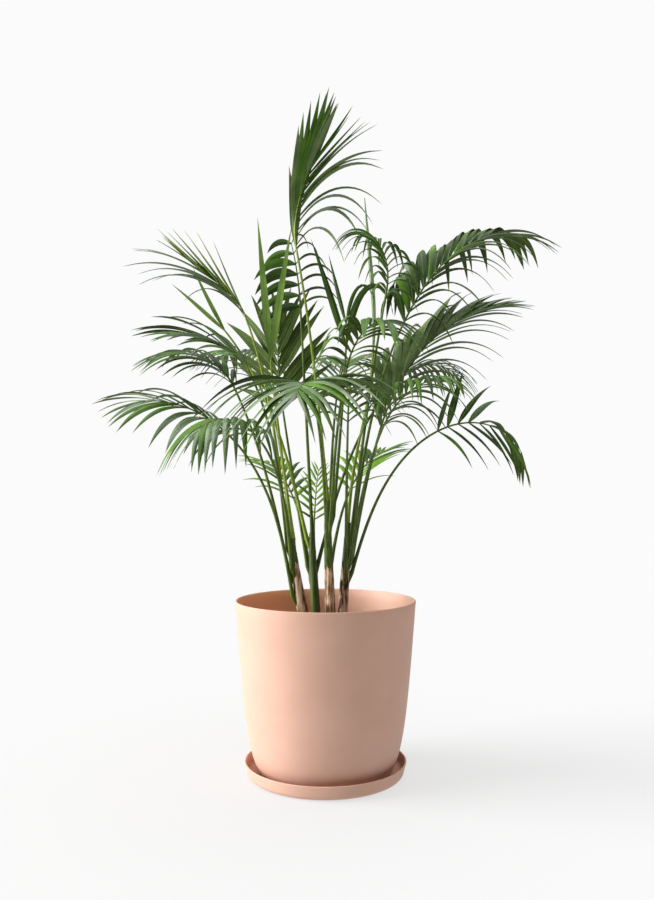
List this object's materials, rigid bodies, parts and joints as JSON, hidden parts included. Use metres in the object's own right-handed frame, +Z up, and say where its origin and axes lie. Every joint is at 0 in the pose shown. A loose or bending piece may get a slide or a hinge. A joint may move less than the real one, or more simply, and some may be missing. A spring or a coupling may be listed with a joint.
{
  "type": "potted palm",
  "caption": "Kentia palm in a round tapered pot on a saucer: clustered sheathed stems carry long arching feather fronds above the potting mix.",
  "frame": {"origin": "centre of the saucer's flat underside, on the floor the plant stands on", "axes": "+Z up along the pot's axis, +X to the right and +Y to the back in the picture's view"},
  "size_m": [0.9183, 0.8477, 1.3225],
  "materials": {
    "pot": "moulded matt terracotta pink",
    "soil": "dark crumbly potting mix",
    "stem": "fibrous brown sheath over green stem",
    "stalk": "smooth yellow-green leaf stalk",
    "leaf": "satin green leaf blade"
  },
  "bodies": {
    "root": {"frond_back_left": "leaf", "frond_back_low_left": "leaf", "frond_back_low_right": "leaf", "frond_back_right": "leaf", "frond_back_right_high": "leaf", "frond_back_small": "leaf", "frond_centre_left": "leaf", "frond_centre_right": "leaf", "frond_front_centre": "leaf", "frond_front_left": "leaf", "frond_front_low": "leaf", "frond_front_right_low": "leaf", "frond_left_back": "leaf", "frond_left_high": "leaf", "frond_left_high_front": "leaf", "frond_left_low": "leaf", "frond_left_middle": "leaf", "frond_right_back": "leaf", "frond_right_front": "leaf", "frond_right_high": "leaf", "frond_right_low": "leaf", "frond_right_middle": "leaf", "frond_spear": "leaf", "frond_top": "leaf", "frond_young_left": "leaf", "frond_young_left_low": "leaf", "pot": "pot", "saucer": "pot", "soil": "soil", "stalk_back_left": "stalk", "stalk_back_low_left": "stalk", "stalk_back_low_right": "stalk", "stalk_back_right": "stalk", "stalk_back_right_high": "stalk", "stalk_back_small": "stalk", "stalk_centre_left": "stalk", "stalk_centre_right": "stalk", "stalk_front_centre": "stalk", "stalk_front_left": "stalk", "stalk_front_low": "stalk", "stalk_front_right_low": "stalk", "stalk_left_back": "stalk", "stalk_left_high": "stalk", "stalk_left_high_front": "stalk", "stalk_left_low": "stalk", "stalk_left_middle": "stalk", "stalk_right_back": "stalk", "stalk_right_front": "stalk", "stalk_right_high": "stalk", "stalk_right_low": "stalk", "stalk_right_middle": "stalk", "stalk_spear": "stalk", "stalk_top": "stalk", "stalk_young_left": "stalk", "stalk_young_left_low": "stalk", "stem_left": "stem", "stem_middle_left": "stem", "stem_middle_right": "stem", "stem_right": "stem"}
  },
  "joints": []
}
